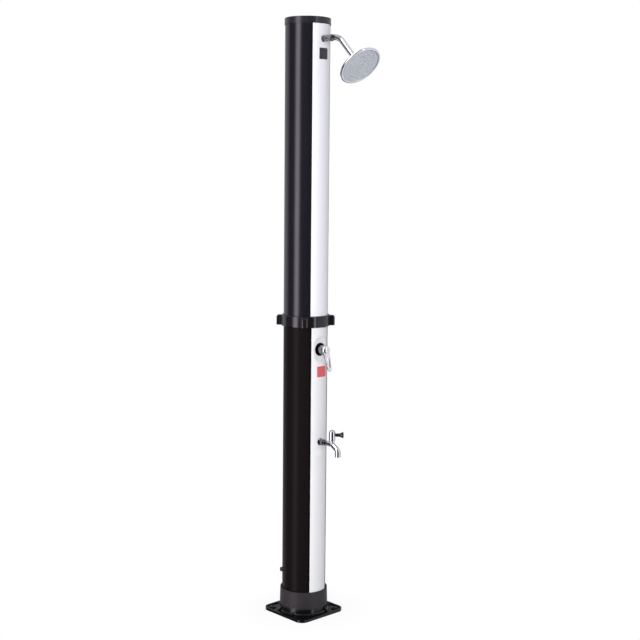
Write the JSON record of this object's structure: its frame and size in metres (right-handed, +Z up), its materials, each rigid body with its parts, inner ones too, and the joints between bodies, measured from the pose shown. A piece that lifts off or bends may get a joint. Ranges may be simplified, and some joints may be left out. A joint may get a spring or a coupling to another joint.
{
  "type": "outdoor shower post",
  "caption": "Free-standing outdoor shower: tubular black tanks with a lugged joint ring, pale front cover, arm with round head, lever mixer and foot tap.",
  "frame": {"origin": "centre of the four floor bolt holes, on the floor under the tube's axis", "axes": "+Z up along the tube, -Y towards the front where the shower head, mixer and tap are, +X to the user's right when facing away from the post"},
  "size_m": [0.22, 0.4306, 2.17],
  "materials": {
    "foot_plastic": "matt moulded plastic",
    "tank_plastic": "satin blow-moulded plastic",
    "ring_plastic": "glossy moulded plastic",
    "cap_plastic": "satin moulded plastic",
    "cover_white": "satin white plastic",
    "cover_silver": "satin silver grey plastic",
    "seal_rubber": "soft rubber",
    "fitting_plastic": "moulded plastic",
    "brass": "machined brass",
    "hose_plastic": "flexible plastic",
    "clip_plastic": "moulded plastic",
    "arm_chrome": "polished chrome plating",
    "head_chrome": "chrome-plated plastic",
    "head_face_plastic": "satin grey plastic",
    "nozzle_rubber": "soft silicone",
    "swivel_plastic": "low-friction plastic",
    "mixer_black": "glossy moulded plastic",
    "mixer_chrome": "polished chrome plating",
    "dot_plastic": "glossy plastic",
    "cartridge_plastic": "moulded plastic",
    "steel": "plain steel",
    "tap_chrome": "polished chrome plating",
    "tap_black": "glossy moulded plastic",
    "aerator_plastic": "moulded plastic",
    "drain_pale": "moulded plastic",
    "drain_dark": "moulded plastic"
  },
  "bodies": {
    "post": {"base_foot": "foot_plastic", "lower_tank": "tank_plastic", "upper_tank": "tank_plastic", "top_cap": "cap_plastic", "upper_cover": "cover_white", "lower_cover": "cover_silver", "union_gasket": "seal_rubber", "transfer_seals": "seal_rubber", "inlet_washer": "seal_rubber", "cartridge_seal": "seal_rubber", "transfer_pipe": "fitting_plastic", "cold_tee": "fitting_plastic", "fill_elbow": "fitting_plastic", "tap_tee": "fitting_plastic", "hot_elbow": "fitting_plastic", "arm_elbow": "fitting_plastic", "inlet_nut": "fitting_plastic", "tap_nut": "fitting_plastic", "arm_nut": "fitting_plastic", "inlet_connector": "brass", "mixer_body": "brass", "fill_hose": "hose_plastic", "cold_hose_low": "hose_plastic", "cold_hose_high": "hose_plastic", "riser_hose": "hose_plastic", "hot_hose": "hose_plastic", "clips_low": "clip_plastic", "clips_middle": "clip_plastic", "clips_high": "clip_plastic", "shower_arm": "arm_chrome", "arm_rosette": "arm_chrome", "swivel_ball": "arm_chrome", "mixer_bezel": "mixer_black", "mixer_neck": "mixer_chrome", "cartridge": "cartridge_plastic", "tap_rosette": "tap_chrome", "tap_body": "tap_chrome", "tap_aerator": "aerator_plastic", "drain_seat": "drain_pale"},
    "union_ring": {"union_ring": "ring_plastic"},
    "mixer_rotor": {"cartridge_rotor": "brass", "rotor_pin": "steel"},
    "lever": {"lever_stem": "steel", "mixer_lever": "mixer_chrome", "lever_screw": "steel", "lever_dot": "dot_plastic"},
    "tap_handle": {"tap_spindle": "brass", "tap_cap": "tap_chrome", "tap_grip": "tap_black"},
    "head_swivel": {"swivel_seat": "swivel_plastic"},
    "shower_head": {"swivel_nut": "arm_chrome", "head_shell": "head_chrome", "nozzle_mat": "nozzle_rubber", "head_face": "head_face_plastic"},
    "drain_cap": {"drain_plug": "drain_dark", "drain_ring": "seal_rubber"}
  },
  "joints": [
    {"name": "union_turn", "type": "hinge", "parent": "post", "child": "union_ring", "pos_m": [0, 0, 1.098], "axis": [0, 0, 1], "continuous": true},
    {"name": "mixer_turn", "type": "hinge", "parent": "post", "child": "mixer_rotor", "pos_m": [0, -0.091, 0.997], "axis": [0, -1, 0], "range_deg": [-45, 45]},
    {"name": "mixer_lift", "type": "hinge", "parent": "mixer_rotor", "child": "lever", "pos_m": [0, -0.091, 0.997], "axis": [-1, 0, 0], "range_deg": [0, 20]},
    {"name": "tap_turn", "type": "hinge", "parent": "post", "child": "tap_handle", "pos_m": [0, -0.146, 0.674], "axis": [0, 0, -1], "range_deg": [0, 90]},
    {"name": "head_spin", "type": "hinge", "parent": "post", "child": "head_swivel", "pos_m": [0, -0.24515, 2.01385], "axis": [0, -0.7071, -0.7071], "continuous": true},
    {"name": "head_tilt", "type": "hinge", "parent": "head_swivel", "child": "shower_head", "pos_m": [0, -0.24515, 2.01385], "axis": [1, 0, 0], "range_deg": [-15, 15]},
    {"name": "drain_turn", "type": "hinge", "parent": "post", "child": "drain_cap", "pos_m": [-0.0658, 0.05141, 0.158], "axis": [-0.788, 0.6157, 0], "continuous": true}
  ]
}
